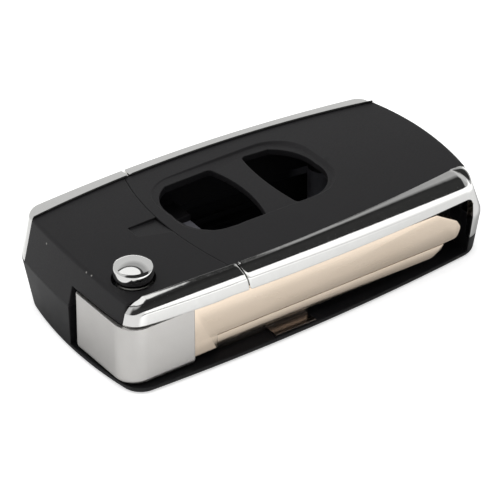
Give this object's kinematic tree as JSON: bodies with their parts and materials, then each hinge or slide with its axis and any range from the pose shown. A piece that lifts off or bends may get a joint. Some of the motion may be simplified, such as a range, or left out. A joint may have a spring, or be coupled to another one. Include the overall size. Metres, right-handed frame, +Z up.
{
  "type": "flip key remote shell",
  "caption": "Empty car flip key shell: a folding uncut key in a side slot, a push-button release, plated side strips and openings for a button pad.",
  "frame": {"origin": "on the underside, below the middle of the case; the underside is z = 0", "axes": "+X from the key's pivot towards the tip of the folded blade, +Z up out of the lid, -Y the side with the blade slot"},
  "size_m": [0.0786, 0.0392, 0.0215],
  "materials": {
    "black_plastic": "fine matte, moulded",
    "plated_trim": "bright plated plastic",
    "tongue_metal": "bright, rolled",
    "steel": "plain bright steel",
    "satin_casting": "satin plated zinc casting",
    "blade_metal": "smooth, warm plated",
    "bright_button": "polished plating"
  },
  "bodies": {
    "key_module": {"key_module_top_cover": "black_plastic", "key_module_bottom_cover": "black_plastic", "near_front_strip": "plated_trim", "far_front_strip": "plated_trim", "joining_tongue": "tongue_metal", "key_module_screw_1": "steel", "key_module_screw_2": "steel"},
    "remote": {"remote_top_cover": "black_plastic", "remote_bottom_cover": "black_plastic", "near_rear_strip": "plated_trim", "far_rear_strip": "plated_trim", "key_ring_bar": "steel", "remote_screw_1": "steel", "remote_screw_2": "steel"},
    "key": {"key_head": "satin_casting", "key_blade": "blade_metal", "blade_lock_pin": "steel", "flip_spring": "steel"},
    "button": {"lock_barrel": "steel", "release_button_cap": "bright_button"}
  },
  "joints": [
    {"name": "blade_flip", "type": "hinge", "parent": "key_module", "child": "key", "pos_m": [-0.031, -0.0102, 0], "axis": [0, 0, -1], "range_deg": [0, 180]},
    {"name": "button_press", "type": "slide", "parent": "key", "child": "button", "axis": [0, 0, -1], "range_m": [0, 0.002], "stiffness_N_per_m": 800, "springref_m": -0.001, "deforming": ["flip_spring"]},
    {"name": "remote_pull", "type": "slide", "parent": "key_module", "child": "remote", "axis": [0.9996, 0.0279, 0], "range_m": [0, 0.022]}
  ]
}
